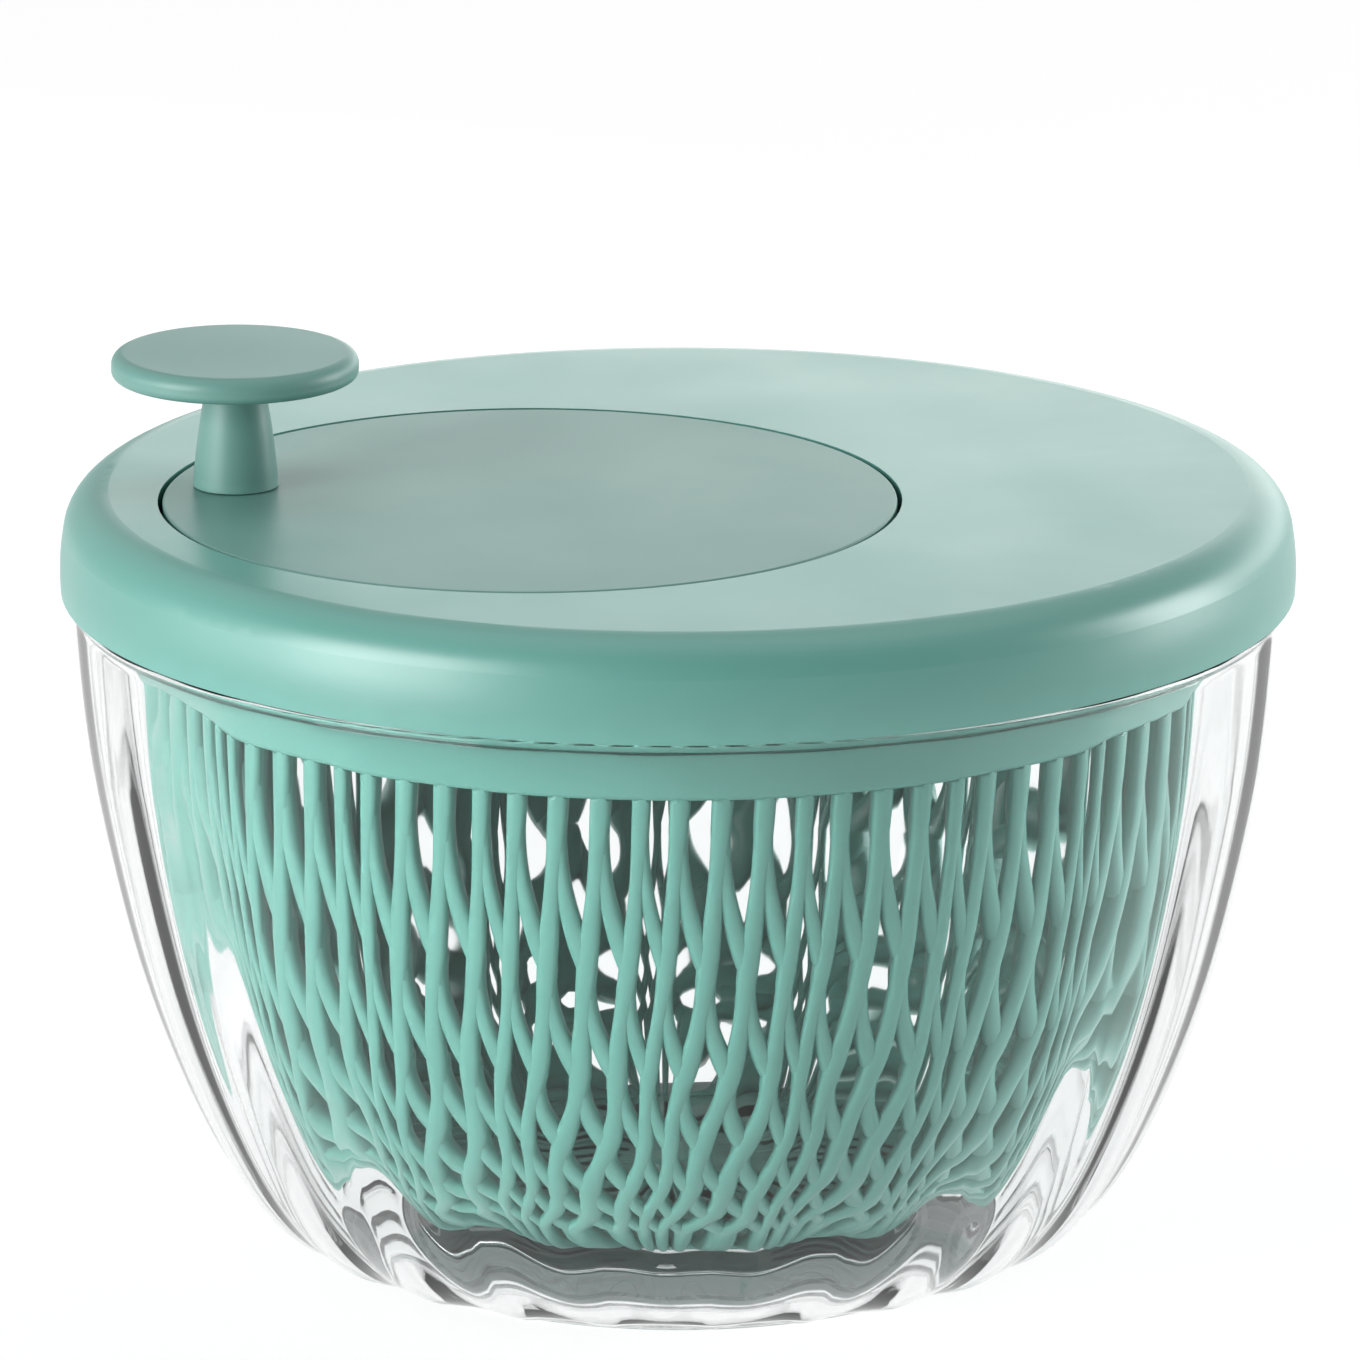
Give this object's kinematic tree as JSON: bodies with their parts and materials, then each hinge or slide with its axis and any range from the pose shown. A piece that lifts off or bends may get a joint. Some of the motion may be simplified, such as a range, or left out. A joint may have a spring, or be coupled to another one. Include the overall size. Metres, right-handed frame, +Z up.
{
  "type": "salad spinner",
  "caption": "Round salad spinner: clear fluted bowl, slatted basket, domed lid with a flush crank disc, off-centre mushroom knob and internal gear drive.",
  "frame": {"origin": "centre of the bowl's base, on the surface that the foot ring rests on", "axes": "+Z up along the basket's spin axis; the crank disc is set towards -X; +X and +Y level"},
  "size_m": [0.26, 0.26, 0.195],
  "materials": {
    "clear_bowl": "clear, thick, polished",
    "teal_shell": "satin moulded, teal green",
    "teal_disc": "satin moulded, slightly duller teal green",
    "teal_basket": "semi-gloss moulded, teal green",
    "acetal": "natural white bearing plastic",
    "soft_seal": "soft translucent grey seal",
    "steel": "turned stainless steel",
    "zinc_screw": "bright fastener"
  },
  "bodies": {
    "bowl": {"bowl": "clear_bowl", "foot_ring": "soft_seal"},
    "pivot": {"pivot_cap": "acetal"},
    "basket": {"basket": "teal_basket", "drain_plate": "teal_basket", "basket_hub": "teal_basket"},
    "lid": {"lid_cover": "teal_shell", "lid_liner": "teal_shell", "lid_gasket": "soft_seal", "liner_screws": "zinc_screw", "axle_bush": "acetal", "pinion_bush_upper": "acetal", "pinion_bush_lower": "acetal"},
    "crank": {"crank_disc": "teal_disc", "crank_axle": "steel", "axle_washer": "steel", "axle_clip": "steel", "ring_gear": "acetal", "ring_gear_screws": "zinc_screw", "knob_spindle": "steel", "knob_washer": "steel", "knob_screw": "zinc_screw"},
    "knob": {"knob_stem": "teal_disc", "knob_cap": "teal_disc"},
    "driver": {"drive_pinion": "acetal", "pinion_shaft": "steel", "pinion_screw": "zinc_screw", "basket_driver": "teal_shell", "driver_washer": "steel", "driver_screw": "zinc_screw"}
  },
  "joints": [
    {"name": "basket_lift", "type": "slide", "parent": "bowl", "child": "pivot", "axis": [0, 0, 1], "range_m": [0, 0.15]},
    {"name": "basket_spin", "type": "hinge", "parent": "pivot", "child": "basket", "pos_m": [0, 0, 0.015], "axis": [0, 0, 1], "continuous": true},
    {"name": "lid_lift", "type": "slide", "parent": "pivot", "child": "lid", "axis": [0, 0, 1], "range_m": [0, 0.15]},
    {"name": "crank_spin", "type": "hinge", "parent": "lid", "child": "crank", "pos_m": [-0.033, 0, 0.15], "axis": [0, 0, 1], "continuous": true},
    {"name": "knob_spin", "type": "hinge", "parent": "crank", "child": "knob", "pos_m": [-0.08733, 0.03169, 0.175], "axis": [0, 0, 1], "continuous": true},
    {"name": "driver_spin", "type": "hinge", "parent": "lid", "child": "driver", "pos_m": [0, 0, 0.15], "axis": [0, 0, 1], "continuous": true}
  ],
  "couplings": [
    {"joint": "driver_spin", "follows": "crank_spin", "ratio": 3.75},
    {"joint": "basket_spin", "follows": "crank_spin", "ratio": 3.75}
  ]
}
